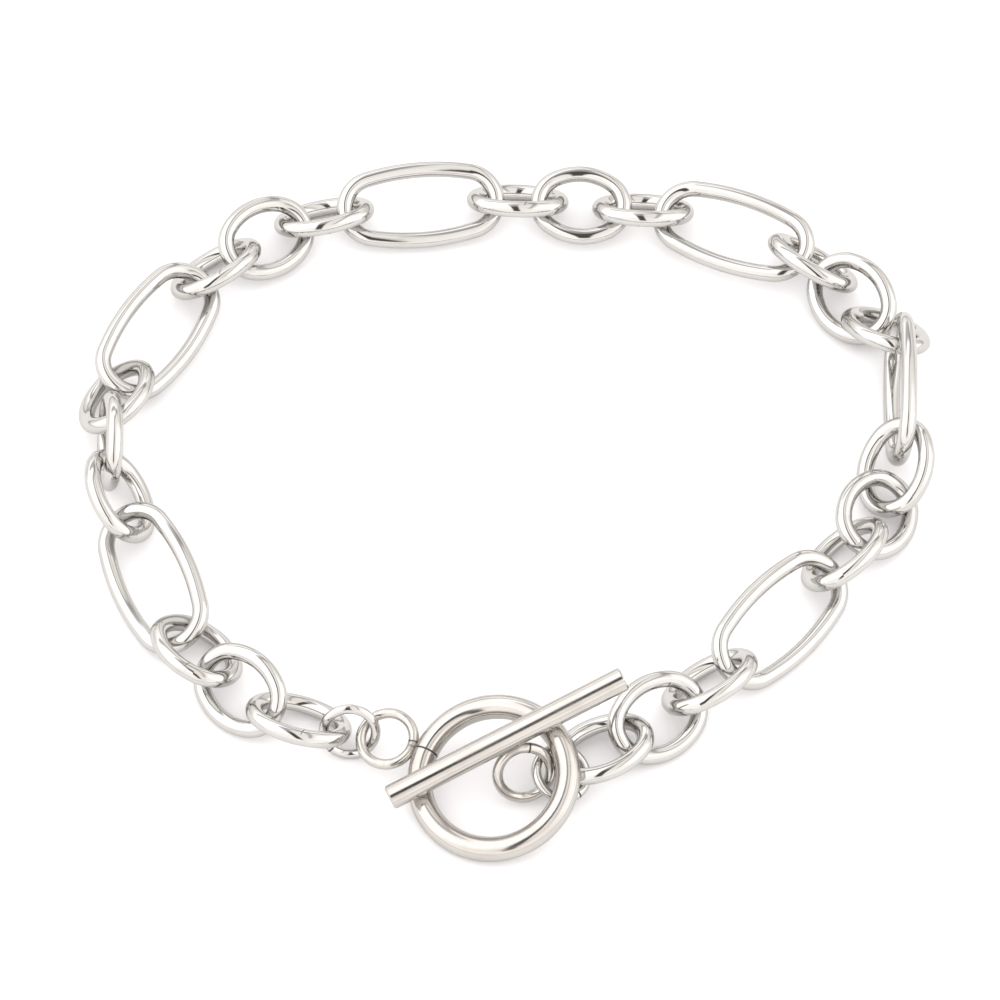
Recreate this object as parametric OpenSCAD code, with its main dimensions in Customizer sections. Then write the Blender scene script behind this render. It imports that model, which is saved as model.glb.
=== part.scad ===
// Link bracelet with a toggle clasp, closed and lying on a flat surface.
// One long oval link and three small ones alternate. A jump ring at each end joins them to the clasp:
// a ring with a welded loop, and a bar with a welded loop that lies across the ring.
// Millimetres, +Z up. The origin is the centre of the bounding box's base.

/* [Link wire] */
// Diameter of the wire that every oval link is bent from
link_wire = 1.4; // [1.2:0.05:1.6]

/* [Small links] */
// Outside length of a small oval link
small_length = 8.8; // [8.4:0.1:9.6]
// Outside width of a small oval link
small_width = 7.1; // [6.8:0.1:7.8]
// Radius of a small link's ends, as a share of half its width between wire centres
small_end = 0.88; // [0.75:0.01:0.95]

/* [Long links] */
// Outside length of a long oval link
long_length = 14.5; // [13.5:0.1:16]
// Outside width of a long oval link
long_width = 7.6; // [7.2:0.1:8.4]
// Radius of a long link's ends, as a share of half its width between wire centres
long_end = 0.86; // [0.7:0.01:0.95]

/* [Jump rings] */
// Outside diameter of a jump ring
jump_diameter = 5; // [4.8:0.1:5.6]
// Diameter of a jump ring's wire
jump_wire = 0.8; // [0.6:0.05:0.9]

/* [Toggle ring] */
// Outside diameter of the clasp's ring
ring_diameter = 14; // [13.5:0.1:15]
// Diameter of the ring's wire
ring_wire = 2; // [1.8:0.05:2.2]

/* [Toggle bar] */
// Length of the clasp's bar
bar_length = 21; // [18:0.5:24]
// Diameter of the bar
bar_diameter = 2; // [1.8:0.05:2.2]
// Width of the bevel round the bar's ends
bar_bevel = 0.15; // [0.05:0.05:0.4]

/* [Welded loops] */
// Outside diameter of the loop welded to the ring and of the one welded to the bar
loop_diameter = 5.2; // [5:0.1:5.6]
// Diameter of a welded loop's wire
loop_wire = 0.85; // [0.7:0.05:0.95]
// Depth to which a loop is sunk into the metal that it is welded to
weld_depth = 0.15; // [0.1:0.05:0.3]

/* [Closed clasp] */
// Gap between the bar and the ring that it lies on
bar_clearance = 0.05; // [0.03:0.01:0.3]
// Distance of the bar's axis from the ring's centre, seen square to the ring
bar_offset = 1.7; // [1.4:0.05:2]
// Distance that the bar's middle has slid along its axis from the point nearest to the ring's centre
bar_slide = 2.35; // [2.1:0.05:2.4]

/* [Hidden] */
$fn = 48;

SMALL = 0;
LONG = 1;

// The links in order from the ring's jump ring, clockwise from above. Columns: kind of link, share of its
// free inside length that is drawn out, and its lean in degrees, positive where its left side is raised.
LINKS = [
    [SMALL, 0.93, 32],
    [SMALL, 0.94, -40],
    [SMALL, 0.88, 28],
    [LONG, 0.93, -24],
    [SMALL, 0.94, 44],
    [SMALL, 0.87, -79],
    [SMALL, 0.84, -32],
    [LONG, 0.94, 20],
    [SMALL, 0.90, -38],
    [SMALL, 0.90, 25],
    [SMALL, 0.94, -36],
    [LONG, 0.96, 24],
    [SMALL, 0.92, -37],
    [SMALL, 0.91, 18],
    [SMALL, 0.88, -37],
    [LONG, 0.95, 18],
    [SMALL, 0.68, -44],
    [SMALL, 0.93, 28],
    [SMALL, 0.66, -28],
    [LONG, 0.87, 80],
    [SMALL, 0.82, 28],
    [SMALL, 0.77, -26],
    [SMALL, 0.91, 40],
    [LONG, 0.98, -32],
    [SMALL, 0.90, 38],
    [SMALL, 0.90, -30],
    [SMALL, 0.87, 19]
];

// Where the ring's centre lies, and the chosen points of the chain's route, seen from above
CLASP = [-0.5, -28.9];
ROUTE = [
    [-19, -22.3], [-23.4, -18.3], [-26.3, -14.3], [-30.6, -4.4], [-32.3, 1.2], [-32.6, 6.8], [-31.5, 11.5],
    [-26, 21], [-22, 24.3], [-17.6, 27.4], [-12.2, 28.8], [-1, 29.9], [4.3, 29.6], [9.7, 28.9], [14.8, 28.6],
    [25, 24.2], [28, 21.8], [31.3, 17.3], [33.6, 14.6], [33.5, 4.6], [32.7, -0.2], [30.8, -4], [27.5, -8.3],
    [19.8, -17.2], [15.9, -20.6], [11.2, -24.2]
];

// How the clasp's ring lies: turn about Z, then tip, then lean, in degrees
RING_LIE = [155, 3, -16];

// How the bar lies on the ring: its turn about the ring's axis, and the roll about its own that raises its loop
BAR_TURN = -131;
BAR_ROLL = 48;

// How each jump ring lies. Columns: its centre from the welded loop's centre, as shares of the two inside
// radii together, its turn, tip and lean, and the turn round it at which the chain hooks on.
RING_SIDE = [[-0.88, 0.18, 0.03], [173, -14, -62], 0];
BAR_SIDE = [[0.86, 0.12, -0.22], [-165, -15, -16], -140];

// Share of a jump ring's inside radius at which the chain hooks on
HOOK_SHARE = 0.9;

// Rounds of matching the route's length to the links'
ROUNDS = 8;

// How far a link's side wires run into its end wires, and how much thinner they are
SEAM_DEPTH = 0.08;
SEAM_STEP = 0.01;

// Frames are 4 by 4 matrices: a shift, and turns about each axis
function shift(v) = [[1, 0, 0, v.x], [0, 1, 0, v.y], [0, 0, 1, v.z], [0, 0, 0, 1]];
function turn_x(a) = [[1, 0, 0, 0], [0, cos(a), -sin(a), 0], [0, sin(a), cos(a), 0], [0, 0, 0, 1]];
function turn_y(a) = [[cos(a), 0, sin(a), 0], [0, 1, 0, 0], [-sin(a), 0, cos(a), 0], [0, 0, 0, 1]];
function turn_z(a) = [[cos(a), -sin(a), 0, 0], [sin(a), cos(a), 0, 0], [0, 0, 1, 0], [0, 0, 0, 1]];
function lie(turns) = turn_z(turns[0]) * turn_y(turns[1]) * turn_x(turns[2]);
function spot(frame, v) = let (moved = frame * [v.x, v.y, v.z, 1]) [moved.x, moved.y, moved.z];

// The centre line of an oval of four arcs: distance and radius of its end arcs, distance and radius of its
// side arcs, and half the angle that a side arc spans. A round ring has end arcs only.
function oval(length, width, wire, end) =
    let (
        half_length = (length - wire) / 2,
        half_width = (width - wire) / 2,
        end_radius = end * half_width,
        free = half_width - end_radius,
        side_radius = (half_length * (half_length - 2 * end_radius) + half_width * half_width) / (2 * free),
        end_x = half_length - end_radius,
        side_y = side_radius - half_width
    )
    [end_x, end_radius, side_y, side_radius, atan2(end_x, side_y)];
function round_ring(diameter, wire) = [0, (diameter - wire) / 2, 0, 0, 0];

// How far a centre line reaches in a direction, which is given by its parts along the oval's own axes
function reach(shape, part) =
    atan2(abs(part.y), abs(part.x)) <= 90 - shape[4]
    ? shape[0] * abs(part.x) + shape[1] * norm(part)
    : shape[3] * norm(part) - shape[2] * abs(part.y);

OVALS = [
    oval(small_length, small_width, link_wire, small_end),
    oval(long_length, long_width, link_wire, long_end)
];
LENGTHS = [small_length, long_length];
WIDTHS = [small_width, long_width];
jump_shape = round_ring(jump_diameter, jump_wire);
ring_shape = round_ring(ring_diameter, ring_wire);
loop_shape = round_ring(loop_diameter, loop_wire);

// The clasp: the ring leans with its near side on the surface, and the bar lies across it
ring_loop = [(ring_diameter + loop_diameter) / 2 - weld_depth, 0, 0];
bar_loop = [0, weld_depth - (bar_diameter + loop_diameter) / 2, 0];
bar_lift = (ring_wire + bar_diameter) / 2 + bar_clearance;
ring_height = reach(ring_shape, [lie(RING_LIE)[2][0], lie(RING_LIE)[2][1]]) + ring_wire / 2;
hole_radii = loop_diameter / 2 - loop_wire + jump_diameter / 2 - jump_wire;
function ring_frame(scale) = shift([CLASP.x * scale, CLASP.y * scale, ring_height]) * lie(RING_LIE);
function bar_frame(scale) =
    ring_frame(scale) * turn_z(BAR_TURN) * shift([bar_slide, bar_offset, bar_lift]) * turn_x(BAR_ROLL);
function jump_frame(loop, row) = shift(loop + hole_radii * row[0]) * lie(row[1]);
function ring_side_frame(scale) = jump_frame(spot(ring_frame(scale), ring_loop), RING_SIDE);
function bar_side_frame(scale) = jump_frame(spot(bar_frame(scale), bar_loop), BAR_SIDE);
function hook(frame, turn) =
    let (radius = HOOK_SHARE * (jump_diameter / 2 - jump_wire)) spot(frame, radius * [cos(turn), sin(turn), 0]);

// The chain: its route from one jump ring to the other is enlarged until it is as long as the drawn-out links
function flat(v) = [v.x, v.y];
function route(scale) = concat(
    [flat(hook(ring_side_frame(scale), RING_SIDE[2]))],
    [for (point = ROUTE) scale * point],
    [flat(hook(bar_side_frame(scale), BAR_SIDE[2]))]
);
function sums(list) =
    [for (i = 0, sum = 0; i <= len(list); sum = sum + (i < len(list) ? list[i] : 0), i = i + 1) sum];
function path_length(path) = sums([for (i = [1 : len(path) - 1]) norm(path[i] - path[i - 1])])[len(path) - 1];
function along(path, distance, i = 0) =
    let (step = norm(path[i + 1] - path[i]))
    distance <= step || i == len(path) - 2
    ? path[i] + (path[i + 1] - path[i]) * distance / step
    : along(path, distance - step, i + 1);
steps = [for (link = LINKS) link[1] * (LENGTHS[link[0]] - 2 * link_wire)];
runs = sums(steps);
chain_length = runs[len(LINKS)];
function matched(scale, rounds) =
    rounds > 0 ? matched(scale * chain_length / path_length(route(scale)), rounds - 1) : scale;
scale = matched(1, ROUNDS);

// Two links meet at the greater of the heights at which each would rest on the surface by itself
rests = [for (link = LINKS) (WIDTHS[link[0]] - link_wire) / 2 * abs(sin(link[2])) + link_wire / 2];
last = len(LINKS) - 1;
meets = [
    for (i = [0 : len(LINKS)])
    let (place = along(route(scale), runs[i]))
    [place.x, place.y, max(rests[max(i - 1, 0)], rests[min(i, last)])]
];
function link_frame(i) =
    let (
        run = meets[i + 1] - meets[i],
        turn = atan2(run.y, run.x),
        tip = -atan2(run.z, norm(flat(run)))
    )
    shift((meets[i] + meets[i + 1]) / 2) * lie([turn, tip, LINKS[i][2]]);

// The bounding box, from every round piece's frame, centre line and wire
ROUND_PIECES = concat(
    [for (i = [0 : last]) [link_frame(i), OVALS[LINKS[i][0]], link_wire]],
    [
        [ring_side_frame(scale), jump_shape, jump_wire],
        [bar_side_frame(scale), jump_shape, jump_wire],
        [ring_frame(scale), ring_shape, ring_wire],
        [ring_frame(scale) * shift(ring_loop), loop_shape, loop_wire],
        [bar_frame(scale) * shift(bar_loop), loop_shape, loop_wire]
    ]
);
function half_span(piece, axis) = reach(piece[1], [piece[0][axis][0], piece[0][axis][1]]) + piece[2] / 2;
function low(axis) = min([for (piece = ROUND_PIECES) piece[0][axis][3] - half_span(piece, axis)]);
function high(axis) = max([for (piece = ROUND_PIECES) piece[0][axis][3] + half_span(piece, axis)]);
home = shift(-[(low(0) + high(0)) / 2, (low(1) + high(1)) / 2, low(2)]);

// Names: each kind of link is numbered by itself along the chain
function two_digits(n) = str(n < 10 ? "0" : "", n);
function link_name(i) =
    let (kind = LINKS[i][0], number = len([for (k = [0 : i]) if (LINKS[k][0] == kind) k]))
    str(kind == LONG ? "long_link_" : "small_link_", two_digits(number));

module lay(frame) {
    multmatrix(home * frame) children();
}

module wire_ring(diameter, wire) {
    rotate_extrude() translate([(diameter - wire) / 2, 0]) circle(d = wire);
}

module wire_arc(radius, half_angle, wire) {
    rotate([0, 0, -half_angle])
        rotate_extrude(angle = 2 * half_angle) translate([radius, 0]) circle(d = wire);
}

// A closed oval of wire, flat in its own frame, with its length along X. Its side wires run a little way into
// its end wires and are thinner by a hair, which makes the four arcs one solid.
module oval_link(shape, wire) {
    sunk_angle = SEAM_DEPTH / shape[3] * 180 / PI;
    for (side = [0, 180]) {
        rotate([0, 0, side]) {
            translate([shape[0], 0, 0]) wire_arc(shape[1], 90 - shape[4], wire);
            translate([0, -shape[2], 0])
                rotate([0, 0, 90]) wire_arc(shape[3], shape[4] + sunk_angle, wire - SEAM_STEP);
        }
    }
}

module chain_link(i) {
    color("silver") lay(link_frame(i)) oval_link(OVALS[LINKS[i][0]], link_wire);
}

module jump_ring(frame) {
    color("lightgray") lay(frame) wire_ring(jump_diameter, jump_wire);
}

module toggle_ring() {
    color("gainsboro") lay(ring_frame(scale)) {
        wire_ring(ring_diameter, ring_wire);
        translate(ring_loop) wire_ring(loop_diameter, loop_wire);
    }
}

// A round bar with bevelled ends along X, and its loop
module toggle_bar() {
    half = bar_length / 2;
    radius = bar_diameter / 2;
    color("gainsboro") lay(bar_frame(scale)) {
        rotate([0, 90, 0])
            rotate_extrude()
                polygon([
                    [0, -half], [radius - bar_bevel, -half], [radius, bar_bevel - half],
                    [radius, half - bar_bevel], [radius - bar_bevel, half], [0, half]
                ]);
        translate(bar_loop) wire_ring(loop_diameter, loop_wire);
    }
}

for (i = [0 : last]) {
    chain_link(i);
}
jump_ring(ring_side_frame(scale));  // jump_ring_ring_side
jump_ring(bar_side_frame(scale));  // jump_ring_bar_side
toggle_ring();
toggle_bar();
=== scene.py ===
"""Link bracelet of polished steel, closed and lying on a white table under soft studio light."""
import math
from collections import namedtuple

import bpy
import numpy as np
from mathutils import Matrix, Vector

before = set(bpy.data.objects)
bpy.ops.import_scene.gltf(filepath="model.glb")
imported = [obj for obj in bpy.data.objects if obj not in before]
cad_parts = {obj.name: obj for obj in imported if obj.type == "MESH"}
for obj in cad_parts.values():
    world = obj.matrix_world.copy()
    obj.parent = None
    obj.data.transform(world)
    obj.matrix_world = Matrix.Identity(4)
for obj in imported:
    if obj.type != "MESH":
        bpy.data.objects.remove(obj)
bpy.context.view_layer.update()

MM = 0.001

# Camera: its height over the table in degrees, its distance, the point of the table that it looks at,
# its lens, and the least and greatest distance that it sees, in metres
CAMERA_HEIGHT = 55
CAMERA_DISTANCE = 450 * MM
AIM = Vector((-0.49, 1.40, 0)) * MM
LENS_MM = 194.4
SENSOR_MM = 36
NEAREST_SEEN = 0.01
FARTHEST_SEEN = 20

# Sizes of the pieces that the marks on the metal follow
RING_DIAMETER = 14 * MM
RING_WIRE = 2 * MM
LOOP_DIAMETER = 5.2 * MM
LOOP_WIRE = 0.85 * MM
JUMP_WIRE = 0.8 * MM
BAR_DIAMETER = 2 * MM
WELD_DEPTH = 0.15 * MM

# Half the thickness of the slice of a ring in which the middle of its wire is found
HALF_SLICE = 0.5 * MM

# Colours of the metal, linear: where it is bright, and in its faint warm clouds
LINK_STEEL = ((0.60, 0.591, 0.578, 1), (0.54, 0.518, 0.496, 1))
CLASP_STEEL = ((0.575, 0.555, 0.53, 1), (0.505, 0.475, 0.445, 1))
EDGE_TINT = (0.85, 0.84, 0.83, 1)

# Roughness of each polish
LINK_POLISH = 0.04
JUMP_RING_POLISH = 0.06
BAR_POLISH = 0.08
RING_POLISH = 0.10

# Clouds and pits in the polish: their sizes, and how far they change the colour, the roughness and the
# relief. A RANGE gives the noise's values at which a change begins and at which it is whole.
CLOUD_SIZE = 2.5 * MM
CLOUD_DETAIL = 3.0
CLOUD_COLOUR = 0.6
CLOUD_COLOUR_RANGE = (0.45, 0.75)
CLOUD_ROUGHNESS = 0.03
CLOUD_ROUGHNESS_RANGE = (0.35, 0.7)
PIT_SIZE = 0.25 * MM
PIT_ROUGHNESS = 0.02
PIT_ROUGHNESS_RANGE = (0.5, 0.8)
PIT_RELIEF = 0.25

# Fine lines left by polishing the clasp: their spacing, how much they wander along their length, and how far
# they change the colour, the roughness and the relief
LINE_SPACING = 0.16 * MM
LINE_WANDER = 0.02
LINE_COLOUR = 0.5
LINE_COLOUR_RANGE = (0.45, 0.65)
LINE_ROUGHNESS = 0.08
LINE_ROUGHNESS_RANGE = (0.4, 0.7)
LINE_RELIEF = 1.2

# Seams: half their widths, the softness of their edges, and how far they change the roughness and the relief
LINK_SEAM_HALF_WIDTH = 0.025 * MM
OPEN_SEAM_HALF_WIDTH = 0.065 * MM
SEAM_SOFTNESS = 0.03 * MM
SEAM_DARK = (0.05, 0.043, 0.037, 1)
SEAM_ROUGHNESS = 0.3
SEAM_RELIEF = 3

# Shares of their reach up to which a seam's mark and the solder are whole
SEAM_WHOLE = 0.7
SOLDER_WHOLE = 0.5

# A link's seam: how far it slants, and its mark's height over the wire's middle, reach and strength
LINK_SEAM_SLANT = 0.6
LINK_SEAM_RISE = 0.55 * MM
LINK_SEAM_REACH = 0.62 * MM
LINK_SEAM_STRENGTH = 0.85

# An open seam: its reach as a share of the wire's diameter, and its strength
OPEN_SEAM_REACH = 0.9
OPEN_SEAM_STRENGTH = 0.9

# The seam in the toggle ring: how far it slants
RING_SEAM_SLANT = 0.1

# Solder at the clasp's loops: its reach, and how far it changes the colour, the roughness and the pits
SOLDER_REACH = 0.9 * MM
SOLDER_GREY = (0.36, 0.335, 0.31, 1)
SOLDER_COLOUR = 0.7
SOLDER_ROUGHNESS = 0.25
SOLDER_RELIEF = 1.5

# All relief together
RELIEF_STRENGTH = 0.25
RELIEF_DEPTH = 0.004 * MM

# Turn round each link, from its long axis towards the outside of the bracelet, of the seam that shows on it
LINK_SEAM_TURNS = {
    "small_link_01": 112,
    "small_link_03": 128,
    "small_link_04": -178,
    "small_link_07": -106,
    "small_link_10": -73,
}
HIDDEN_SEAM_TURN = -90

# Piece of the clasp that each jump ring hangs on, and the turn from there, round the jump ring, of its cut
JUMP_SEAM_TURNS = {"jump_ring_ring_side": ("toggle_ring", -127), "jump_ring_bar_side": ("toggle_bar", 135)}

# Turn round each soldered loop, from its point farthest from the joint, of the cut where it was closed
LOOP_SEAM_TURNS = {"toggle_ring": -168, "toggle_bar": 145}

# The tent's panels and the darker edges between them, linear colours that polished metal mirrors
TENT_WHITE = (0.72, 0.695, 0.67, 1)
LEFT_WHITE = (1.02, 1.01, 1.0, 1)
RIGHT_WHITE = (0.98, 0.965, 0.95, 1)
FRONT_WHITE = (0.80, 0.77, 0.74, 1)
FOOT_SHADE = (0.30, 0.28, 0.265, 1)
CEILING_EDGE_BLACK = (0.06, 0.055, 0.05, 1)
EDGE_GREY = (0.20, 0.19, 0.18, 1)
HORIZON_GREY = (0.16, 0.15, 0.14, 1)
PLAIN_WHITE = (1, 1, 1, 1)

# How far the tent's left and right edges lean with height, and how far the left one bends towards the back
LEFT_SLOPE = 0.08
RIGHT_SLOPE = 0.45
LEFT_BEND = 0.5

# Where the tent's panels and edges fade: the shares of the distance (upwards, to the back or to the right) at
# which a fade begins and at which it is whole
LEFT_BEND_FADE = (0.45, 0.9)
LEFT_FADE = (0.05, -0.05)
LEFT_RISE_FADE = (0.0, 0.45)
RIGHT_FADE = (0.0, 0.2)
RIGHT_BACK_FADE = (0.55, 0.25)
FRONT_FADE = (-0.30, -0.60)
BACK_FADE = (0.25, 0.6)
BACK_FOOT_FADE = (0.55, 0.2)
CEILING_FADE = (0.3, 0.6)
CEILING_FRONT_FADE = (0.3, -0.2)
RIGHT_EDGE_FADE = (-0.6, -0.3)
BACK_EDGE_FADE = (0.6, 0.75)

# The darker edges: the middle, half the width and the softness of each
CEILING_EDGE = (0, 0.07, 0.07)
RIGHT_EDGE = (-0.04, 0.02, 0.06)
BACK_EDGE = (0.57, 0.04, 0.07)
HORIZON = (0.0, 0.04, 0.08)

# Shares of their full strength that the left panel keeps at its foot and the ceiling's edge at its back
LEFT_FOOT_SHARE = 0.35
CEILING_BACK_SHARE = 0.6

# How strongly the other panels and edges show
FRONT_SHARE = 0.75
BACK_FOOT_SHARE = 0.4
RIGHT_EDGE_SHARE = 0.65
BACK_EDGE_SHARE = 0.75
HORIZON_SHARE = 0.5

# Strength of the tent as metal mirrors it, of the light that it throws, and of the plain backdrop
MIRRORED_STRENGTH = 1.9
LAMP_STRENGTH = 1.75
BACKDROP_STRENGTH = 1.0

# The table: half its width in metres, and its white as the camera sees it and as metal mirrors it
TABLE_HALF_WIDTH = 3.0
TABLE_SEEN = (0.93, 0.912, 0.915, 1)
TABLE_MIRRORED = (0.80, 0.785, 0.775, 1)

# Mark of a seam: a point in its plane, the plane's normal, half its width, the spot round which it shows,
# how far it shows from there, and how dark it is
Seam = namedtuple("Seam", "point normal half_width spot reach strength")


class Value:
    """A socket of a shader, on which Python's operators add Math nodes."""

    def __init__(self, shader, socket):
        self.shader = shader
        self.socket = socket

    def math(self, operation, *values):
        return self.shader.node("ShaderNodeMath", {"operation": operation}, dict(enumerate(values)))

    def __add__(self, other):
        return self.math("ADD", self, other)

    def __radd__(self, other):
        return self.math("ADD", other, self)

    def __sub__(self, other):
        return self.math("SUBTRACT", self, other)

    def __mul__(self, other):
        return self.math("MULTIPLY", self, other)

    def __rmul__(self, other):
        return self.math("MULTIPLY", other, self)

    def __abs__(self):
        return self.math("ABSOLUTE", self)


class Shader:
    """The nodes of one material or of the world."""

    def __init__(self, owner):
        owner.use_nodes = True
        self.tree = owner.node_tree
        self.tree.nodes.clear()

    def node(self, kind, settings=None, sockets=None, output=0):
        """Adds a node, with its settings first and then the values or links of its sockets."""
        made = self.tree.nodes.new(kind)
        for name, value in (settings or {}).items():
            setattr(made, name, value)
        for key, value in (sockets or {}).items():
            if isinstance(value, Value):
                self.tree.links.new(value.socket, made.inputs[key])
            else:
                made.inputs[key].default_value = value
        return Value(self, made.outputs[output]) if made.outputs else made

    def ramp(self, value, low, high):
        """0 below low and 1 above high, smooth between them; high may be the lower one."""
        sockets = {"Value": value, "From Min": low, "From Max": high}
        return self.node("ShaderNodeMapRange", {"interpolation_type": "SMOOTHSTEP"}, sockets)

    def band(self, value, middle, half_width, softness):
        """1 where value is within half_width of middle, and 0 further off."""
        return self.ramp(abs(value - middle), half_width + softness, half_width)

    def vector(self, operation, first, second, output="Vector"):
        return self.node("ShaderNodeVectorMath", {"operation": operation}, {0: first, 1: second}, output)

    def offset(self, place, point):
        return self.vector("SUBTRACT", place, tuple(point))

    def distance(self, place, point):
        return self.vector("DISTANCE", place, tuple(point), "Value")

    def along(self, vector, direction):
        return self.vector("DOT_PRODUCT", vector, tuple(direction), "Value")

    def mix(self, factor, first, second):
        sockets = {"Factor": factor, 6: first, 7: second}
        return self.node("ShaderNodeMix", {"data_type": "RGBA"}, sockets, 2)

    def noise(self, vector, size, detail=2.0):
        sockets = {"Vector": vector, "Scale": 1 / size, "Detail": detail}
        return self.node("ShaderNodeTexNoise", {}, sockets)

    def combine(self, x, y, z):
        return self.node("ShaderNodeCombineXYZ", {}, {0: x, 1: y, 2: z})

    def if_ray(self, kind, otherwise, then):
        """The surface `then` for rays of one kind, such as Is Camera Ray, and `otherwise` for all others."""
        asked = self.node("ShaderNodeLightPath", {}, {}, kind)
        return self.node("ShaderNodeMixShader", {}, {0: asked, 1: otherwise, 2: then})


class PieceAxes:
    """Where a piece of wire lies: its centre, and its directions of greatest, middle and least reach."""

    def __init__(self, name):
        points = np.array([tuple(v.co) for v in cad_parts[name].data.vertices])
        _, axes = np.linalg.eigh(np.cov((points - points.mean(0)).T))
        local = points @ axes
        self.centre = axes @ ((local.min(0) + local.max(0)) / 2)
        self.across = axes[:, 1] * np.sign(axes[:, 1] @ (self.centre * (1, 1, 0)))
        self.flat = axes[:, 0] * np.sign(axes[2, 0])
        self.long = np.cross(self.across, self.flat)
        self.points = points

    def face(self, point):
        """Turns the long axis towards a point, for a round ring, which has no long axis of its own."""
        towards = point - self.centre
        towards = towards - (towards @ self.flat) * self.flat
        self.long = towards / np.linalg.norm(towards)
        self.across = np.cross(self.flat, self.long)

    def wire(self, turn):
        """The wire's middle at a turn in degrees from the long axis, and the directions outward and round."""
        angle = math.radians(turn)
        outward = math.cos(angle) * self.long + math.sin(angle) * self.across
        around = np.cross(self.flat, outward)
        offsets = self.points - self.centre
        in_slice = (np.abs(offsets @ around) < HALF_SLICE) & (offsets @ outward > 0)
        reach = (offsets @ outward)[in_slice]
        return self.centre + (reach.min() + reach.max()) / 2 * outward, outward, around


def lines_round(shader, place, axes, centre):
    """Fine lines round a ring, from each point's distance to its centre and height over its plane."""
    offset = shader.offset(place, centre)
    height = shader.along(offset, axes.flat)
    beside = shader.along(offset, axes.long)
    ahead = shader.along(offset, axes.across)
    distance = shader.vector("LENGTH", shader.combine(beside, ahead, 0.0), (0, 0, 0), "Value")
    return shader.noise(shader.combine(distance, height, LINE_WANDER * beside), LINE_SPACING)


def lines_lengthwise(shader, place, axes, centre):
    """Fine lines along a bar."""
    offset = shader.offset(place, centre)
    beside = shader.along(offset, axes.across)
    height = shader.along(offset, axes.flat)
    length = shader.along(offset, axes.long)
    return shader.noise(shader.combine(beside, height, LINE_WANDER * length), LINE_SPACING)


def polished(name, roughness, seams, steel=LINK_STEEL, lines=None, solder=None):
    """Polished steel with faint clouds and pits, fine lines, a dark mark at each seam and a soldered spot."""
    metal = bpy.data.materials.new(name)
    shader = Shader(metal)
    bright, warm = steel
    place = shader.node("ShaderNodeTexCoord", {}, {}, "Object")
    clouds = shader.noise(place, CLOUD_SIZE, CLOUD_DETAIL)
    pits = shader.noise(place, PIT_SIZE)
    colour = shader.mix(CLOUD_COLOUR * shader.ramp(clouds, *CLOUD_COLOUR_RANGE), bright, warm)
    rough = roughness + CLOUD_ROUGHNESS * shader.ramp(clouds, *CLOUD_ROUGHNESS_RANGE)
    rough = rough + PIT_ROUGHNESS * shader.ramp(pits, *PIT_ROUGHNESS_RANGE)
    relief = PIT_RELIEF * pits
    if lines is not None:
        drawn = lines(shader, place)
        colour = shader.mix(LINE_COLOUR * shader.ramp(drawn, *LINE_COLOUR_RANGE), colour, warm)
        rough = rough + LINE_ROUGHNESS * shader.ramp(drawn, *LINE_ROUGHNESS_RANGE)
        relief = relief + LINE_RELIEF * drawn
    for seam in seams:
        from_plane = shader.along(shader.offset(place, seam.point), seam.normal)
        near = shader.band(from_plane, 0, seam.half_width, SEAM_SOFTNESS)
        cut = near * shader.ramp(shader.distance(place, seam.spot), seam.reach, SEAM_WHOLE * seam.reach)
        colour = shader.mix(seam.strength * cut, colour, SEAM_DARK)
        rough = rough + SEAM_ROUGHNESS * cut
        relief = relief - SEAM_RELIEF * cut
    if solder is not None:
        dull = shader.ramp(shader.distance(place, solder), SOLDER_REACH, SOLDER_WHOLE * SOLDER_REACH)
        colour = shader.mix(SOLDER_COLOUR * dull, colour, SOLDER_GREY)
        rough = rough + SOLDER_ROUGHNESS * dull
        relief = relief + SOLDER_RELIEF * dull * pits
    bump = {"Strength": RELIEF_STRENGTH, "Distance": RELIEF_DEPTH, "Height": relief}
    sockets = {
        "Base Color": colour,
        "Metallic": 1.0,
        "Roughness": rough,
        "Specular Tint": EDGE_TINT,
        "Normal": shader.node("ShaderNodeBump", {}, bump),
    }
    surface = shader.node("ShaderNodeBsdfPrincipled", {}, sockets)
    shader.node("ShaderNodeOutputMaterial", {}, {"Surface": surface})
    return metal


def dress(name, metal):
    """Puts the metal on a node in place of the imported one."""
    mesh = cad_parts[name].data
    mesh.materials.clear()
    mesh.materials.append(metal)


def link_seam(axes, turn, side):
    """A butt seam cut aslant, of which polishing has left a short mark above (side 1) or below (side -1)."""
    middle, outward, around = axes.wire(turn)
    normal = around + LINK_SEAM_SLANT * outward
    spot = middle + side * LINK_SEAM_RISE * axes.flat
    return Seam(middle, normal, LINK_SEAM_HALF_WIDTH, spot, LINK_SEAM_REACH, LINK_SEAM_STRENGTH)


def open_seam(middle, normal, wire):
    """The plain cut where a ring of wire was closed, dark all round."""
    return Seam(middle, normal, OPEN_SEAM_HALF_WIDTH, middle, OPEN_SEAM_REACH * wire, OPEN_SEAM_STRENGTH)


def dress_links():
    """Each link was closed at a butt seam; most of the seams lie underneath."""
    for name in sorted(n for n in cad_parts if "_link_" in n):
        axes = PieceAxes(name)
        turn = LINK_SEAM_TURNS.get(name, HIDDEN_SEAM_TURN)
        side = 1 if name in LINK_SEAM_TURNS else -1
        dress(name, polished(name + "_steel", LINK_POLISH, [link_seam(axes, turn, side)]))


def dress_jump_rings():
    """Each jump ring shows the open cut in its wire."""
    for name, (clasp_piece, turn) in JUMP_SEAM_TURNS.items():
        axes = PieceAxes(name)
        axes.face(PieceAxes(clasp_piece).centre)
        middle, _, around = axes.wire(turn)
        dress(name, polished(name + "_steel", JUMP_RING_POLISH, [open_seam(middle, around, JUMP_WIRE)]))


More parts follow.
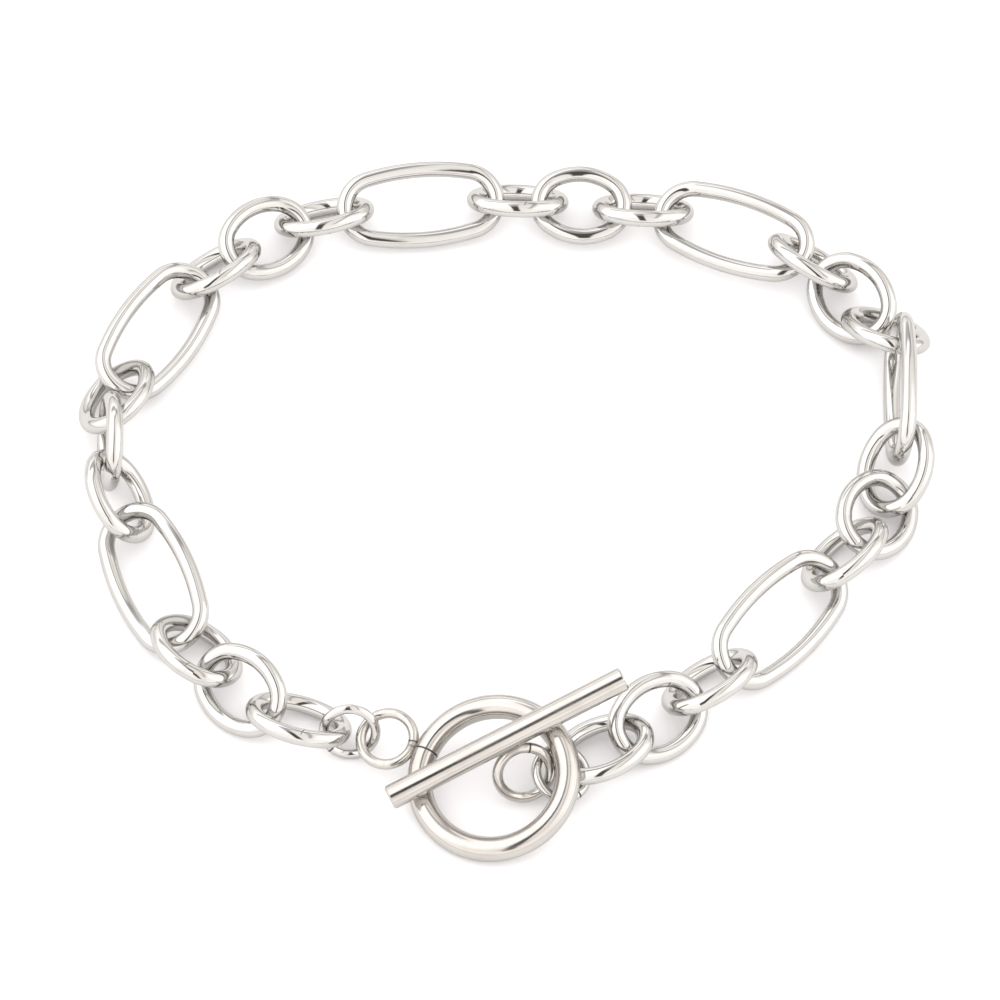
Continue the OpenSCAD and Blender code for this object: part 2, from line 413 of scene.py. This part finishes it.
def loop_seam(joint, direction, around, turn):
    """The cut in a soldered loop, at a turn round the loop from its point farthest from the joint."""
    angle = math.radians(turn)
    outward = math.cos(angle) * direction + math.sin(angle) * around
    loop_centre = joint + (LOOP_DIAMETER / 2 - WELD_DEPTH) * direction
    middle = loop_centre + (LOOP_DIAMETER - LOOP_WIRE) / 2 * outward
    return open_seam(middle, math.cos(angle) * around - math.sin(angle) * direction, LOOP_WIRE)


def dress_toggle_ring():
    """The ring's own seam is by its loop, which is soldered on over it."""
    axes = PieceAxes("toggle_ring")
    to_jump_ring = PieceAxes("jump_ring_ring_side").centre - axes.centre
    direction = axes.long * np.sign(axes.long @ to_jump_ring)
    tip = max(axes.points @ direction) - axes.centre @ direction
    ring_centre = axes.centre + (tip - RING_DIAMETER / 2 - LOOP_DIAMETER + WELD_DEPTH) * direction
    joint = ring_centre + RING_DIAMETER / 2 * direction
    around = np.cross(axes.flat, direction)
    seams = [
        open_seam(joint - RING_WIRE / 2 * direction, around + RING_SEAM_SLANT * axes.flat, RING_WIRE),
        loop_seam(joint, direction, around, LOOP_SEAM_TURNS["toggle_ring"]),
    ]

    def lines(shader, place):
        return lines_round(shader, place, axes, ring_centre)

    dress("toggle_ring", polished("toggle_ring_steel", RING_POLISH, seams, CLASP_STEEL, lines, joint))


def dress_toggle_bar():
    """The bar's loop is soldered to the middle of its side."""
    axes = PieceAxes("toggle_bar")
    to_jump_ring = PieceAxes("jump_ring_bar_side").centre - axes.centre
    direction = axes.across * np.sign(axes.across @ to_jump_ring)
    far_side = min(axes.points @ direction) - axes.centre @ direction
    bar_centre = axes.centre + (far_side + BAR_DIAMETER / 2) * direction
    joint = bar_centre + BAR_DIAMETER / 2 * direction
    around = np.cross(axes.flat, direction)
    seams = [loop_seam(joint, direction, around, LOOP_SEAM_TURNS["toggle_bar"])]

    def lines(shader, place):
        return lines_lengthwise(shader, place, axes, bar_centre)

    dress("toggle_bar", polished("toggle_bar_steel", BAR_POLISH, seams, CLASP_STEEL, lines, joint))


def light_studio():
    """A white tent round the table, with the darker edges between its panels that polished metal mirrors.

    A point of the tent is given by its height over the table and by how far it lies to the back and to the
    right, as shares of its distance, so each runs from -1 to 1.
    """
    world = bpy.data.worlds.new("white_tent")
    bpy.context.scene.world = world
    shader = Shader(world)
    towards = shader.node("ShaderNodeTexCoord", {}, {}, "Generated")
    height = shader.along(towards, (0, 0, 1))
    to_back = shader.along(towards, (0, 1, 0))
    to_right = shader.along(towards, (1, 0, 0))
    from_left_edge = to_right + LEFT_SLOPE * height - LEFT_BEND * shader.ramp(to_back, *LEFT_BEND_FADE)
    from_right_edge = to_right - RIGHT_SLOPE * height

    left_rise = LEFT_FOOT_SHARE + (1 - LEFT_FOOT_SHARE) * shader.ramp(height, *LEFT_RISE_FADE)
    left_panel = shader.ramp(from_left_edge, *LEFT_FADE) * left_rise
    right_panel = shader.ramp(from_right_edge, *RIGHT_FADE) * shader.ramp(to_back, *RIGHT_BACK_FADE)
    front_panel = shader.ramp(to_back, *FRONT_FADE)
    back_foot = shader.ramp(to_back, *BACK_FADE) * shader.ramp(height, *BACK_FOOT_FADE)
    ceiling_edge = shader.band(from_left_edge, *CEILING_EDGE) * shader.ramp(height, *CEILING_FADE)
    towards_front = shader.ramp(to_back, *CEILING_FRONT_FADE)
    ceiling_share = CEILING_BACK_SHARE + (1 - CEILING_BACK_SHARE) * towards_front
    right_edge = shader.band(from_right_edge, *RIGHT_EDGE) * shader.ramp(to_back, *RIGHT_EDGE_FADE)
    back_edge = shader.band(height, *BACK_EDGE) * shader.ramp(to_back, *BACK_EDGE_FADE)
    horizon = shader.band(height, *HORIZON)

    colour = shader.mix(left_panel, TENT_WHITE, LEFT_WHITE)
    colour = shader.mix(right_panel, colour, RIGHT_WHITE)
    colour = shader.mix(FRONT_SHARE * front_panel, colour, FRONT_WHITE)
    colour = shader.mix(BACK_FOOT_SHARE * back_foot, colour, FOOT_SHADE)
    colour = shader.mix(ceiling_share * ceiling_edge, colour, CEILING_EDGE_BLACK)
    colour = shader.mix(RIGHT_EDGE_SHARE * right_edge, colour, EDGE_GREY)
    colour = shader.mix(BACK_EDGE_SHARE * back_edge, colour, EDGE_GREY)
    colour = shader.mix(HORIZON_SHARE * horizon, colour, HORIZON_GREY)

    tent = shader.node("ShaderNodeBackground", {}, {"Color": colour, "Strength": MIRRORED_STRENGTH})
    lamp = shader.node("ShaderNodeBackground", {}, {"Color": PLAIN_WHITE, "Strength": LAMP_STRENGTH})
    bare = shader.node("ShaderNodeBackground", {}, {"Color": PLAIN_WHITE, "Strength": BACKDROP_STRENGTH})
    light = shader.if_ray("Is Glossy Ray", lamp, tent)
    surface = shader.if_ray("Is Camera Ray", light, bare)
    shader.node("ShaderNodeOutputWorld", {}, {"Surface": surface})


def lay_table():
    """A matt white table that the bracelet lies on, which metal mirrors a little greyer than it looks."""
    half = TABLE_HALF_WIDTH
    mesh = bpy.data.meshes.new("table")
    corners = [(-half, -half, 0), (half, -half, 0), (half, half, 0), (-half, half, 0)]
    mesh.from_pydata(corners, [], [(0, 1, 2, 3)])
    table = bpy.data.objects.new("table", mesh)
    bpy.context.scene.collection.objects.link(table)
    paint = bpy.data.materials.new("white_table")
    shader = Shader(paint)
    seen = shader.node("ShaderNodeBsdfDiffuse", {}, {"Color": TABLE_SEEN})
    mirrored = shader.node("ShaderNodeBsdfDiffuse", {}, {"Color": TABLE_MIRRORED})
    surface = shader.if_ray("Is Camera Ray", mirrored, seen)
    shader.node("ShaderNodeOutputMaterial", {}, {"Surface": surface})
    mesh.materials.append(paint)


def set_camera():
    """A long lens at the bracelet's front, level from side to side."""
    lens = bpy.data.cameras.new("camera")
    lens.lens = LENS_MM
    lens.sensor_width = SENSOR_MM
    lens.clip_start = NEAREST_SEEN
    lens.clip_end = FARTHEST_SEEN
    rise = math.radians(CAMERA_HEIGHT)
    camera = bpy.data.objects.new("camera", lens)
    camera.location = AIM + CAMERA_DISTANCE * Vector((0, -math.cos(rise), math.sin(rise)))
    camera.rotation_euler = (math.pi / 2 - rise, 0, 0)
    bpy.context.scene.collection.objects.link(camera)
    bpy.context.scene.camera = camera


dress_links()
dress_jump_rings()
dress_toggle_ring()
dress_toggle_bar()
light_studio()
lay_table()
set_camera()
bpy.context.scene.view_settings.view_transform = "Standard"
